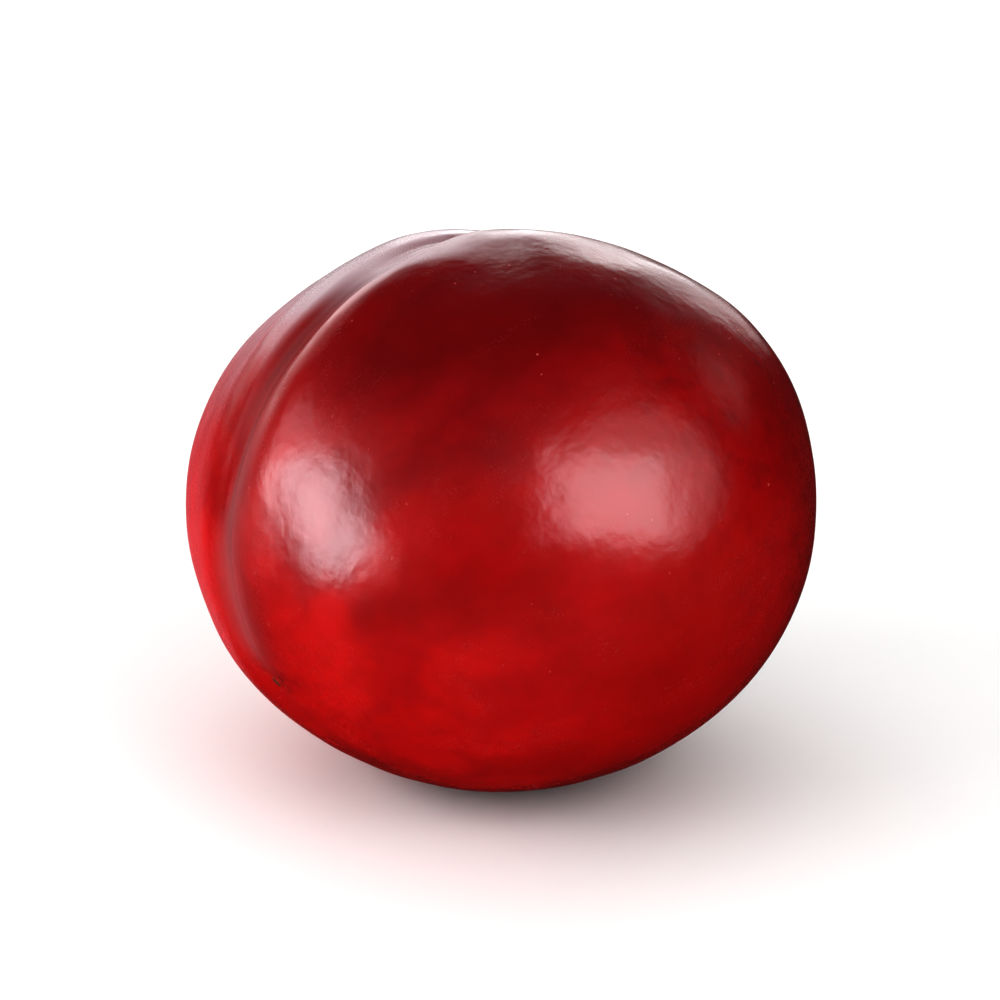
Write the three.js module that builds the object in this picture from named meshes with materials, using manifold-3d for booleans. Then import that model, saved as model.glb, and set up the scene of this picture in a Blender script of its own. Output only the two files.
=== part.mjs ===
// A ripe dark-red plum, whole, with no stalk, lying on the cheek opposite its suture.
//
// The skin is one closed surface. Its distance from the middle of the fruit is a formula of the
// direction, in the fruit's own frame: x towards the suture, y towards the fuller cheek and
// z towards the stem end. The finished surface is then turned into its resting pose, and the
// small flat spot that it rests on is cut away. All lengths are in millimetres.

import * as THREE from "three";
import { mergeVertices } from "three/addons/utils/BufferGeometryUtils.js";
import Module from "manifold-3d";

// Half sizes of the plain egg-round body, from the middle of the fruit.
const HALF_DEPTH = 31.1;
const HALF_WIDTH = 34.9;
const HALF_LENGTH = 32.4;

// How far the body leans, as shares of its radius: where two of the directions grow together.
const LEAN_SUTURE_STEM = -0.08;
const LEAN_SUTURE_CHEEK = -0.035;

// The suture: the groove that runs from the stem end to the tip, and the lips beside it.
const GROOVE_DEPTH_AT_STEM = 3.2;
const GROOVE_DEPTH_MIDWAY = 1.6;
const GROOVE_DEPTH_AT_TIP = 0.8;
const GROOVE_HALF_WIDTH = 2.4;
const GROOVE_BED_RADIUS = 0.35;
const GROOVE_SHARPNESS = 1.25;
const LIP_HEIGHT = 0.6;
const LIP_PLACE = 5.5;
const LIP_HALF_WIDTH = 4.0;
const FULLER_LIP_HEIGHT = 0.47;
const FULLER_LIP_RUN = 1.2;
const FULLER_LIP_REACH = 12.0;

// The groove's path strays sideways from a true meridian by these lengths.
const PATH_BOW = 1.46;
const PATH_WAVE = 0.43;
const TIP_OFFSET = 5.7;

// The groove fades out past the two ends, between these places along the suture direction.
const SUTURE_FADE_FROM = -1;
const SUTURE_FADE_TO = 7;

// The stem end: the cavity, the dip where the groove enters it and the raised shoulders.
const CAVITY_DEPTH = 6.5;
const CAVITY_RADIUS = 8.0;
const CAVITY_STRETCH = 1.12;
const SADDLE_DEPTH = 2.1;
const SADDLE_HALF_WIDTH = 8.0;
const SHOULDER_HEIGHT = 1.45;
const SHOULDER_ANGLE = 0.54;
const SHOULDER_SPREAD = 0.28;

// The tip: a broad flattening with a small dimple in it.
const TIP_FLATTENING = 0.55;
const TIP_SPREAD = 0.55;
const DIMPLE_DEPTH = 0.7;
const DIMPLE_RADIUS = 3.0;

// Slow swells that keep the cheeks from being a perfect figure.
const SWELLS = [
  { height: 0.16, along: new THREE.Vector3(2.3, 1.9, -1.2), phase: 0.6 },
  { height: 0.13, along: new THREE.Vector3(-1.4, 3.6, 2.2), phase: 1.9 },
  { height: 0.11, along: new THREE.Vector3(4.1, -2.0, 3.1), phase: 4.0 },
  { height: 0.08, along: new THREE.Vector3(-3.3, -4.4, 4.6), phase: 2.7 },
];

// The resting pose, in degrees: where the stem end points, how high, and the roll about it.
const STEM_HEADING = 44.3;
const STEM_RISE = 22.4;
const SUTURE_ROLL = -18;

// The flat spot that the fruit rests on is this much cut from its lowest point.
const FLAT_SPOT_CUT = 1.0;

// The surface grid, crowded towards the suture and towards the stem end.
const STEPS_ROUND = 72;
const STEPS_ALONG = 44;
const CROWD_TO_SUTURE = 0.6;
const CROWD_TO_STEM = 0.35;

const smoothstep = THREE.MathUtils.smoothstep;

/** A bell that is 1 at zero and falls away over the given half width. */
function bell(distance, halfWidth) {
  return Math.exp(-((distance / halfWidth) ** 2));
}

/** Distance to the plain body: an ellipsoid that leans a little. */
function bodyRadius(direction) {
  const x = direction.x / HALF_DEPTH;
  const y = direction.y / HALF_WIDTH;
  const z = direction.z / HALF_LENGTH;
  const ellipsoid = 1 / Math.hypot(x, y, z);
  const leanToStem = LEAN_SUTURE_STEM * direction.x * direction.z;
  const leanToCheek = LEAN_SUTURE_CHEEK * direction.x * direction.y;
  return ellipsoid * (1 + leanToStem + leanToCheek);
}

/** How far the groove's bed lies from the middle plane, towards the fuller cheek. */
function suturePath(direction) {
  const fromStem = Math.acos(THREE.MathUtils.clamp(direction.z, -1, 1));
  const bow = PATH_BOW * Math.sin(fromStem);
  const wave = PATH_WAVE * Math.sin(2 * fromStem);
  const drift = TIP_OFFSET * ((1 - direction.z) / 2) ** 3;
  return bow + wave - drift;
}

/** Depth of the groove's bed, deepest at the stem end and shallowest at the tip. */
function grooveDepth(direction) {
  const stemShare = smoothstep(direction.z, 0.2, 0.95);
  const tipShare = smoothstep(-direction.z, 0.2, 0.9);
  const deepening = (GROOVE_DEPTH_AT_STEM - GROOVE_DEPTH_MIDWAY) * stemShare;
  const shoaling = (GROOVE_DEPTH_AT_TIP - GROOVE_DEPTH_MIDWAY) * tipShare;
  return GROOVE_DEPTH_MIDWAY + deepening + shoaling;
}

/** Relief of the suture: two lips, one fuller than the other, with the groove between. */
function sutureRelief(direction, radius) {
  const aside = radius * direction.y - suturePath(direction);
  const bedDistance = Math.hypot(aside, GROOVE_BED_RADIUS) - GROOVE_BED_RADIUS;
  const grooveShape = Math.exp(-((bedDistance / GROOVE_HALF_WIDTH) ** GROOVE_SHARPNESS));
  const groove = grooveDepth(direction) * grooveShape;
  const lips = LIP_HEIGHT * bell(Math.abs(aside) - LIP_PLACE, LIP_HALF_WIDTH);
  const fullerLip = FULLER_LIP_HEIGHT * Math.tanh(aside / FULLER_LIP_RUN) * bell(aside, FULLER_LIP_REACH);
  const saddle = SADDLE_DEPTH * bell(aside, SADDLE_HALF_WIDTH) * smoothstep(direction.z, 0.3, 0.95);
  const fade = smoothstep(radius * direction.x, SUTURE_FADE_FROM, SUTURE_FADE_TO);
  return fade * (lips + fullerLip - groove - saddle);
}

/** Relief of the stem end: a raised shoulder on each cheek round the cavity. */
function stemRelief(direction, radius) {
  const acrossAxis = Math.hypot(direction.x, direction.y);
  const fromStem = Math.atan2(acrossAxis, direction.z);
  const cheekShare = acrossAxis > 0 ? (direction.y / acrossAxis) ** 2 : 0;
  const fadeAtAxis = smoothstep(acrossAxis, 0, 0.3);
  const shoulder = SHOULDER_HEIGHT * bell(fromStem - SHOULDER_ANGLE, SHOULDER_SPREAD) * cheekShare * fadeAtAxis;
  if (direction.z <= 0) return shoulder;
  const fromAxis = radius * Math.hypot(direction.x / CAVITY_STRETCH, direction.y);
  return shoulder - CAVITY_DEPTH * bell(fromAxis, CAVITY_RADIUS);
}

/** Relief of the tip: a broad flattening, and a dimple where the groove ends. */
function tipRelief(direction, radius) {
  const fromTip = Math.acos(THREE.MathUtils.clamp(-direction.z, -1, 1));
  const flattening = TIP_FLATTENING * bell(fromTip, TIP_SPREAD);
  if (direction.z >= 0) return -flattening;
  const fromDimple = Math.hypot(radius * direction.x, radius * direction.y + TIP_OFFSET);
  return -flattening - DIMPLE_DEPTH * bell(fromDimple, DIMPLE_RADIUS);
}

/** Slow swells of the cheeks. */
function swellRelief(direction) {
  return SWELLS.reduce((sum, swell) => sum + swell.height * Math.sin(direction.dot(swell.along) + swell.phase), 0);
}

/** Distance from the middle of the fruit to its skin in one direction. */
function skinRadius(direction) {
  const radius = bodyRadius(direction);
  const ends = stemRelief(direction, radius) + tipRelief(direction, radius);
  return radius + sutureRelief(direction, radius) + ends + swellRelief(direction);
}

/** An even angle pulled towards zero, so that the steps near zero are the smallest. */
function crowd(angle, share) {
  return angle - share * Math.sin(angle);
}

/** The skin in the fruit's own frame, from a round ball whose points are moved out or in. */
function skinGeometry() {
  const geometry = new THREE.SphereGeometry(1, STEPS_ROUND, STEPS_ALONG);
  geometry.deleteAttribute("normal");
  geometry.deleteAttribute("uv");
  const points = geometry.attributes.position;
  const direction = new THREE.Vector3();
  for (let index = 0; index < points.count; index += 1) {
    const fromStem = crowd(Math.acos(THREE.MathUtils.clamp(points.getY(index), -1, 1)), CROWD_TO_STEM);
    const fromSuture = crowd(Math.atan2(points.getX(index), points.getZ(index)), CROWD_TO_SUTURE);
    const acrossAxis = Math.sin(fromStem);
    direction.set(acrossAxis * Math.cos(fromSuture), acrossAxis * Math.sin(fromSuture), Math.cos(fromStem));
    direction.multiplyScalar(skinRadius(direction));
    points.setXYZ(index, direction.x, direction.y, direction.z);
  }
  return mergeVertices(geometry);
}

/** The turn from the fruit's own frame into the resting pose. */
function restingTurn() {
  const heading = THREE.MathUtils.degToRad(STEM_HEADING);
  const rise = THREE.MathUtils.degToRad(STEM_RISE);
  const roll = THREE.MathUtils.degToRad(SUTURE_ROLL);
  const level = Math.cos(rise);
  const stem = new THREE.Vector3(level * Math.cos(heading), level * Math.sin(heading), Math.sin(rise));
  const upright = new THREE.Vector3(0, 0, 1).projectOnPlane(stem).normalize();
  const suture = upright.applyAxisAngle(stem, roll);
  const cheek = new THREE.Vector3().crossVectors(stem, suture);
  return new THREE.Matrix4().makeBasis(suture, cheek, stem);
}

/** A solid for cutting, from a closed geometry that holds positions only. */
function solidFrom(wasm, geometry) {
  const vertProperties = Float32Array.from(geometry.attributes.position.array);
  const triVerts = Uint32Array.from(geometry.index.array);
  return new wasm.Manifold(new wasm.Mesh({ numProp: 3, vertProperties, triVerts }));
}

/** A geometry from a cut solid. */
function geometryFrom(solid) {
  const mesh = solid.getMesh();
  const geometry = new THREE.BufferGeometry();
  geometry.setAttribute("position", new THREE.BufferAttribute(Float32Array.from(mesh.vertProperties), 3));
  geometry.setIndex(new THREE.BufferAttribute(Uint32Array.from(mesh.triVerts), 1));
  return geometry;
}

/** The block that cuts the flat spot: its top face lies a little above the lowest point. */
function flatSpotCutter(bounds) {
  const reach = 4 * HALF_WIDTH;
  const cutter = new THREE.BoxGeometry(reach, reach, reach);
  cutter.deleteAttribute("normal");
  cutter.deleteAttribute("uv");
  cutter.translate(0, 0, bounds.min.z + FLAT_SPOT_CUT - reach / 2);
  return mergeVertices(cutter);
}

/** The middle of the flat spot: the middle of the box round the points at the lowest height. */
function flatSpotMiddle(geometry) {
  const rim = new THREE.Box3();
  const point = new THREE.Vector3();
  const points = geometry.attributes.position;
  for (let index = 0; index < points.count; index += 1) {
    point.fromBufferAttribute(points, index);
    if (point.z < geometry.boundingBox.min.z + FLAT_SPOT_CUT / 100) rim.expandByPoint(point);
  }
  return rim.getCenter(new THREE.Vector3());
}

/** The whole fruit in its resting pose, with the middle of its flat spot at the origin. */
function plumGeometry(wasm) {
  const skin = skinGeometry();
  skin.applyMatrix4(restingTurn());
  skin.computeBoundingBox();
  const cutter = flatSpotCutter(skin.boundingBox);
  const geometry = geometryFrom(solidFrom(wasm, skin).subtract(solidFrom(wasm, cutter)));
  geometry.computeBoundingBox();
  const middle = flatSpotMiddle(geometry);
  geometry.translate(-middle.x, -middle.y, -geometry.boundingBox.min.z);
  geometry.computeVertexNormals();
  return geometry;
}

/** Ripe skin: deep red, half glossy under a thin wax. */
function skinMaterial() {
  return new THREE.MeshStandardMaterial({ color: 0x960512, roughness: 0.32, metalness: 0 });
}

const wasm = await Module();
wasm.setup();

const plum = new THREE.Mesh(plumGeometry(wasm), skinMaterial());
plum.name = "plum";

const fruit = new THREE.Group();
fruit.add(plum);

export default fruit;
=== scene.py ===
"""One ripe dark-red plum, lying on the small flat spot opposite its suture.

The fruit is one closed skin. Its distance from the middle of the fruit is a formula of the
direction, worked out on a grid that runs from the stem end to the tip. The lengths in the shape
classes are millimetres, in the fruit's own frame: x towards the suture, y towards the fuller
cheek and z towards the stem end. The finished skin is turned into its resting pose and set into
the box of the CAD solid that it stands for.
"""

import logging
import math
from dataclasses import asdict, dataclass, field
from enum import Enum

import bpy
import numpy as np
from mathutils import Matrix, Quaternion, Vector


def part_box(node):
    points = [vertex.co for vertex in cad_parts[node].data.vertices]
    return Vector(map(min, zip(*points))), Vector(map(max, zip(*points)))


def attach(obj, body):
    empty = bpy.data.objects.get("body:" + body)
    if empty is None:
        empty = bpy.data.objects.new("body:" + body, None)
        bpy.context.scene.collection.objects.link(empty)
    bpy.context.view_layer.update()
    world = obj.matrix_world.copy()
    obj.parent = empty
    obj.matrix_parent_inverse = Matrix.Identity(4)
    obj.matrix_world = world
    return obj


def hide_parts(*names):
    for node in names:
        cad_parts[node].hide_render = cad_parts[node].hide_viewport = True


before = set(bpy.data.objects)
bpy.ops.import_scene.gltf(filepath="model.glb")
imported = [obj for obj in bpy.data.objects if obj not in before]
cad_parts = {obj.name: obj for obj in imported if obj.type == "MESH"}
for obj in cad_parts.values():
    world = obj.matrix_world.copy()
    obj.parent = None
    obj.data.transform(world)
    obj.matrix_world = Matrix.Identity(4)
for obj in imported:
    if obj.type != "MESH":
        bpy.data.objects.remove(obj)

MM = 0.001
TINY = 1e-9
NODE = "plum"
BODY = "root"

Socket = bpy.types.NodeSocket
Colour = tuple[float, float, float, float]

log = logging.getLogger("plum")


# ---------------------------------------------------------------- small formulas


def smooth_step(value: np.ndarray, low: float, high: float) -> np.ndarray:
    """A smooth rise from 0 at low to 1 at high.

    Args:
        value: Where to read the rise.
        low: Value at which the rise starts.
        high: Value at which it ends.

    Returns:
        Numbers from 0 to 1, of the same shape as value.
    """
    share = np.clip((value - low) / (high - low), 0.0, 1.0)
    return share * share * (3.0 - 2.0 * share)


def bell(distance: np.ndarray, half_width: float) -> np.ndarray:
    """A bell that is 1 at zero distance and falls away over half_width."""
    return np.exp(-((distance / half_width) ** 2))


def crowd(angle: np.ndarray, share: float) -> np.ndarray:
    """Even angles pulled towards zero: the angle less share times its sine."""
    return angle - share * np.sin(angle)


@dataclass(frozen=True)
class Step:
    """A soft step from 0 at low to share at high."""

    low: float
    high: float
    share: float = 1.0

    def up(self, value: np.ndarray) -> np.ndarray:
        """0 below the step and share above it."""
        return self.share * smooth_step(value, self.low, self.high)

    def down(self, value: np.ndarray) -> np.ndarray:
        """1 below the step and 1 less share above it."""
        return 1.0 - self.up(value)


@dataclass(frozen=True)
class Spot:
    """A round spot that fades between two shares of its radius."""

    radius: float
    inner: float
    outer: float

    def mask(self, distance: np.ndarray) -> np.ndarray:
        """1 inside the spot and 0 outside, at a distance from its middle."""
        return Step(self.radius * self.inner, self.radius * self.outer).down(distance)


# ---------------------------------------------------------------- shape of the fruit


@dataclass(frozen=True)
class Directions:
    """Unit directions from the middle of the fruit, one for each grid point.

    x, y and z are the direction in the fruit's own frame, radius is the distance to the plain
    body, from_stem the angle from the stem axis and round the angle round that axis.
    """

    x: np.ndarray
    y: np.ndarray
    z: np.ndarray
    radius: np.ndarray
    from_stem: np.ndarray
    round: np.ndarray

    @property
    def across(self) -> np.ndarray:
        """Distance of the unit direction from the stem axis."""
        return np.hypot(self.x, self.y)


@dataclass(frozen=True)
class Swell:
    """One slow wave over the fruit: height times the sine of along . direction + phase."""

    height: float
    along: tuple[float, float, float]
    phase: float

    def height_at(self, at: Directions) -> np.ndarray:
        """Height of this wave at each direction."""
        wave = self.along[0] * at.x + self.along[1] * at.y + self.along[2] * at.z
        return self.height * np.sin(wave + self.phase)


@dataclass(frozen=True)
class Body:
    """The plain egg-round body: an ellipsoid that leans a little, with slow swells."""

    half_depth: float = 31.1
    half_width: float = 34.9
    half_length: float = 32.4
    lean_suture_stem: float = -0.08
    lean_suture_cheek: float = -0.035
    swells: tuple[Swell, ...] = (
        Swell(0.16, (2.3, 1.9, -1.2), 0.6),
        Swell(0.13, (-1.4, 3.6, 2.2), 1.9),
        Swell(0.11, (4.1, -2.0, 3.1), 4.0),
        Swell(0.08, (-3.3, -4.4, 4.6), 2.7),
    )
    ripples: tuple[Swell, ...] = (
        Swell(0.022, (17.0, 9.0, -7.0), 0.4),
        Swell(0.020, (-8.0, 19.0, 11.0), 2.2),
        Swell(0.016, (13.0, -15.0, 16.0), 5.1),
        Swell(0.012, (-24.0, 12.0, 21.0), 1.3),
        Swell(0.010, (9.0, 33.0, -14.0), 3.6),
    )

    def radius(self, x: np.ndarray, y: np.ndarray, z: np.ndarray) -> np.ndarray:
        """Distance to the plain body along unit directions.

        The ellipsoid's distance is 1 over the length of (x/depth, y/width, z/length). The lean
        multiplies it by 1 plus a share of x times z and a share of x times y.

        Args:
            x: The directions' part towards the suture.
            y: Their part towards the fuller cheek.
            z: Their part towards the stem end.

        Returns:
            The distances, of the same shape as x.
        """
        parts = (x / self.half_depth, y / self.half_width, z / self.half_length)
        scaled = np.sqrt(sum(part**2 for part in parts))
        lean = 1.0 + self.lean_suture_stem * x * z + self.lean_suture_cheek * x * y
        return lean / scaled

    def relief(self, at: Directions) -> np.ndarray:
        """Sum of the slow swells and of the faint ripples."""
        return sum(wave.height_at(at) for wave in self.swells + self.ripples)


@dataclass(frozen=True)
class Along:
    """A size that changes along the suture: at the stem end, midway and at the tip."""

    stem: float
    midway: float
    tip: float
    towards_stem: Step = Step(0.2, 0.95)
    towards_tip: Step = Step(0.2, 0.9)

    def at(self, place: Directions) -> np.ndarray:
        """The size at each direction, by smooth steps between the three.

        Args:
            place: The directions.

        Returns:
            The size at each of them.
        """
        to_stem = (self.stem - self.midway) * self.towards_stem.up(place.z)
        to_tip = (self.tip - self.midway) * self.towards_tip.up(-place.z)
        return self.midway + to_stem + to_tip


@dataclass(frozen=True)
class Ridge:
    """A fine line beside the suture: a bell of its height across, at its own distance."""

    place: float
    height: float
    half_width: float

    def height_at(self, aside: np.ndarray) -> np.ndarray:
        """Height of the line at a signed distance from the bed."""
        return self.height * bell(aside - self.place, self.half_width)


@dataclass(frozen=True)
class Suture:
    """The shallow valley from the stem end to the tip, with a thin crease in its bed and lips."""

    valley: Along = Along(2.2, 0.90, 0.24)
    valley_half_width: float = 3.1
    crease: Along = Along(0.75, 0.52, 0.20)
    crease_place: float = 1.25
    crease_half_width: float = 0.62
    crease_rounding: float = 0.10
    lip: Along = Along(0.6, 0.5, 0.22)
    lip_place: float = 5.5
    lip_half_width: float = 4.0
    fuller: Along = Along(0.50, 0.34, 0.36)
    fuller_run: float = 1.2
    fuller_reach: float = 12.0
    ridges: tuple[Ridge, ...] = (
        Ridge(3.9, 0.10, 0.60),
        Ridge(-0.45, 0.14, 0.60),
        Ridge(-1.95, -0.20, 0.65),
        Ridge(-3.40, 0.06, 0.50),
        Ridge(-7.40, 0.045, 0.60),
        Ridge(-9.10, 0.035, 0.55),
        Ridge(-10.40, 0.04, 0.60),
    )
    lines_fade: Step = Step(0.30, 0.62, 0.8)
    path_bow: float = 1.46
    path_wave: float = 0.43
    tip_offset: float = 5.7
    slope_sink: float = 0.75
    slope_place: float = -13.0
    slope_half_width: float = 6.0
    slope_level: float = -0.25
    slope_spread: float = 0.45
    front: Step = Step(-1.0, 7.0)

    def aside(self, at: Directions) -> np.ndarray:
        """Signed distance from the groove's bed, towards the fuller cheek.

        The bed's path strays from the middle plane by a bow (a sine over the way from stem to
        tip), a wave (the sine of twice that) and a drift that grows towards the tip.

        Args:
            at: The directions.

        Returns:
            Millimetres from the bed, at each direction.
        """
        bow = self.path_bow * np.sin(at.from_stem)
        wave = self.path_wave * np.sin(2.0 * at.from_stem)
        drift = self.tip_offset * ((1.0 - at.z) / 2.0) ** 3
        return at.radius * at.y - (bow + wave - drift)

    def fade(self, at: Directions) -> np.ndarray:
        """1 on the suture's side of the fruit and 0 on the other."""
        return self.front.up(at.radius * at.x)

    def relief(self, at: Directions) -> np.ndarray:
        """Lips and fine ridges less the valley and its crease.

        The valley is a bell across. The crease is its depth times exp(-distance / half width),
        with the distance rounded near the bed. The lips are bells on both sides, and the fuller
        lip adds a tanh step across the bed that fades with distance. A broad bell lets the far
        slope sink a little.

        Args:
            at: The directions.

        Returns:
            Height of the suture's relief.
        """
        aside = self.aside(at)
        from_crease = np.hypot(aside - self.crease_place, self.crease_rounding)
        depth_share = np.exp(-(from_crease - self.crease_rounding) / self.crease_half_width)
        crease = self.crease.at(at) * depth_share
        valley = self.valley.at(at) * bell(aside, self.valley_half_width)
        lips = self.lip.at(at) * bell(np.abs(aside) - self.lip_place, self.lip_half_width)
        step_across = np.tanh(aside / self.fuller_run) * bell(aside, self.fuller_reach)
        fuller = self.fuller.at(at) * step_across
        lines = sum(ridge.height_at(aside) for ridge in self.ridges)
        lines = lines * self.lines_fade.down(-at.z)
        slope = bell(aside - self.slope_place, self.slope_half_width)
        sink = self.slope_sink * slope * bell(at.z - self.slope_level, self.slope_spread)
        return self.fade(at) * (lips + fuller + lines - valley - crease - sink)


@dataclass(frozen=True)
class Wrinkle:
    """One wave round the stem end: how many go round, how high, how bent and its phase."""

    count: float
    share: float = 1.0
    bend: float = 0.0
    phase: float = 0.0

    def wave(self, around: np.ndarray, sway: np.ndarray) -> np.ndarray:
        """Share times the sine of count times the angle round, plus bend times the sway."""
        return self.share * np.sin(self.count * around + self.bend * sway + self.phase)


@dataclass(frozen=True)
class StemEnd:
    """The cavity where the stalk was, its raised shoulders, wrinkles and woody scar."""

    cavity_depth: float = 6.5
    cavity_radius: float = 8.0
    cavity_stretch: float = 1.12
    saddle_depth: float = 2.1
    saddle_half_width: float = 8.0
    shoulder_height: float = 1.45
    shoulder_angle: float = 0.54
    shoulder_spread: float = 0.28
    shoulder_start: Step = Step(0.0, 0.3)
    saddle_start: Step = Step(0.3, 0.95)
    button: Spot = Spot(1.7, 0.75, 1.25)
    button_rise: float = 0.55
    pit_depth: float = 0.35
    pit_radius: float = 0.935
    scar: Spot = Spot(1.7, 0.95, 1.3)
    wrinkle_height: float = 0.035
    wrinkles_start: Step = Step(2.2, 4.7)
    wrinkles_end: Step = Step(6.2, 11.0)
    wrinkles_run: tuple[Wrinkle, ...] = (
        Wrinkle(13.0, 1.0, 5.0, 0.0),
        Wrinkle(22.0, 0.8, -6.0, 1.4),
        Wrinkle(37.0, 0.5, 8.0, 0.3),
    )
    sway: Wrinkle = Wrinkle(3.0, 0.35, 0.0, 1.0)
    sway_drift: float = 0.06

    def from_axis(self, at: Directions) -> np.ndarray:
        """Distance from the stem axis, measured on the plain body and squeezed along x."""
        return at.radius * np.hypot(at.x / self.cavity_stretch, at.y)

    def relief(self, at: Directions, aside: np.ndarray, fade: np.ndarray) -> np.ndarray:
        """Shoulders less the cavity and the saddle where the groove runs into it.

        Args:
            at: The directions.
            aside: Signed distance from the groove's bed.
            fade: 1 on the suture's side of the fruit.

        Returns:
            Height of the stem end's relief.
        """
        cheek_share = (at.y / np.maximum(at.across, TINY)) ** 2
        ring = bell(at.from_stem - self.shoulder_angle, self.shoulder_spread)
        shoulder = self.shoulder_height * ring * cheek_share * self.shoulder_start.up(at.across)
        cavity = self.cavity_depth * self.cavity_mask(at)
        saddle = self.saddle_depth * bell(aside, self.saddle_half_width) * fade
        saddle = saddle * self.saddle_start.up(at.z)
        return shoulder - cavity - saddle + self.wrinkles(at) + self.scar_relief(at)

    def cavity_mask(self, at: Directions) -> np.ndarray:
        """1 at the bottom of the cavity and 0 on the skin round it."""
        return bell(self.from_axis(at), self.cavity_radius) * (at.z > 0.0)

    def wrinkles(self, at: Directions) -> np.ndarray:
        """Fine creases that run out of the cavity: three sines of the angle round the stem.

        Args:
            at: The directions.

        Returns:
            Height of the wrinkles.
        """
        distance = self.from_axis(at)
        sway = self.sway.wave(at.round, 0.0) + self.sway_drift * distance
        creases = sum(wrinkle.wave(at.round, sway) for wrinkle in self.wrinkles_run)
        place = self.wrinkles_start.up(distance) * self.wrinkles_end.down(distance)
        return self.wrinkle_height * place * creases * (at.z > 0.0)

    def scar_relief(self, at: Directions) -> np.ndarray:
        """The stalk's scar: a small button less a bell-shaped pit in its middle.

        Args:
            at: The directions.

        Returns:
            Height of the scar.
        """
        distance = self.from_axis(at)
        button = self.button_rise * self.button.mask(distance)
        pit = self.pit_depth * bell(distance, self.pit_radius)
        return (button - pit) * (at.z > 0.0)

    def scar_mask(self, at: Directions) -> np.ndarray:
        """1 on the woody scar, 0 on the skin."""
        return self.scar.mask(self.from_axis(at)) * (at.z > 0.0)


@dataclass(frozen=True)
class Tip:
    """The flattened tip, with a dimple that holds the speck where the flower sat."""

    flattening: float = 0.55
    spread: float = 0.55
    dimple_depth: float = 0.7
    dimple_radius: float = 3.0
    offset: float = Suture.tip_offset
    speck: Spot = Spot(0.55, 0.6, 1.6)
    speck_rise: float = 0.22

    def from_dimple(self, at: Directions) -> np.ndarray:
        """Distance from the middle of the dimple, measured across the stem axis."""
        return np.hypot(at.radius * at.x, at.radius * at.y + self.offset)

    def relief(self, at: Directions) -> np.ndarray:
        """The speck less the dimple, on a tip that a broad bell flattens.

        Args:
            at: The directions.

        Returns:
            Height of the tip's relief.
        """
        flattening = self.flattening * bell(math.pi - at.from_stem, self.spread)
        dimple = self.dimple_depth * bell(self.from_dimple(at), self.dimple_radius)
        speck = self.speck_rise * bell(self.from_dimple(at), self.speck.radius)
        return (speck - dimple) * (at.z < 0.0) - flattening

    def speck_mask(self, at: Directions) -> np.ndarray:
        """1 on the dry speck, 0 on the skin."""
        return self.speck.mask(self.from_dimple(at)) * (at.z < 0.0)


@dataclass(frozen=True)
class RestingPose:
    """How the fruit lies: where the stem end points, how high, and the roll about it."""

    stem_heading: float = math.radians(44.3)
    stem_rise: float = math.radians(22.4)
    suture_roll: float = math.radians(-18.0)

    def turn(self) -> np.ndarray:
        """The rotation of the resting pose.

        Returns:
            Three by three numbers whose columns are the suture, cheek and stem directions.
        """
        level = math.cos(self.stem_rise)
        across = (level * math.cos(self.stem_heading), level * math.sin(self.stem_heading))
        stem = np.array([*across, math.sin(self.stem_rise)])
        upright = np.array([0.0, 0.0, 1.0]) - stem[2] * stem
        upright /= np.linalg.norm(upright)
        sideways = np.cross(stem, upright)
        suture = math.cos(self.suture_roll) * upright + math.sin(self.suture_roll) * sideways
        return np.stack([suture, np.cross(stem, suture), stem], axis=1)


# ---------------------------------------------------------------- the skin as a mesh


@dataclass(frozen=True)
class PolarGrid:
    """A grid of directions from the stem end to the tip, crowded where the detail is."""

    steps_round: int = 440
    steps_along: int = 226
    crowd_to_suture: float = 0.66
    crowd_to_stem: float = 0.42

    def directions(self, body: Body) -> Directions:
        """All rings between the two poles, and the poles as the first and last row.

        Args:
            body: The plain body, which gives each direction its distance.

        Returns:
            The directions, one row a ring.
        """
        even_along = np.linspace(0.0, math.pi, self.steps_along + 1)
        even_round = np.linspace(0.0, 2.0 * math.pi, self.steps_round, endpoint=False)
        along = crowd(even_along, self.crowd_to_stem)
        turns = crowd(even_round, self.crowd_to_suture)
        from_stem, around = np.meshgrid(along, turns, indexing="ij")
        x = np.sin(from_stem) * np.cos(around)
        y = np.sin(from_stem) * np.sin(around)
        z = np.cos(from_stem)
        return Directions(x, y, z, body.radius(x, y, z), from_stem, around)

    def rows_to_points(self, rows: np.ndarray) -> np.ndarray:
        """The grid's rows as a list of points, with each pole as a single point."""
        inner = rows[1:-1].reshape(-1, *rows.shape[2:])
        return np.concatenate([rows[:1, 0], inner, rows[-1:, 0]])

    def faces(self) -> tuple[np.ndarray, np.ndarray]:
        """The quads between the rings and the triangles round the poles, facing outwards.

        Returns:
            Four vertex numbers for each quad, and three for each triangle.
        """
        count = self.steps_round
        rings = self.steps_along - 1
        here = np.arange(count)
        beside = (here + 1) % count
        starts = 1 + count * np.arange(rings - 1)[:, None]
        ends = starts + count
        quads = np.stack([starts + here, ends + here, ends + beside, starts + beside], axis=-1)
        stem = np.zeros(count, int)
        tip = np.full(count, 1 + rings * count)
        last = 1 + (rings - 1) * count
        stem_cap = np.stack([stem, 1 + here, 1 + beside], axis=-1)
        tip_cap = np.stack([tip, last + beside, last + here], axis=-1)
        return quads.reshape(-1, 4), np.concatenate([stem_cap, tip_cap])


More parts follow.
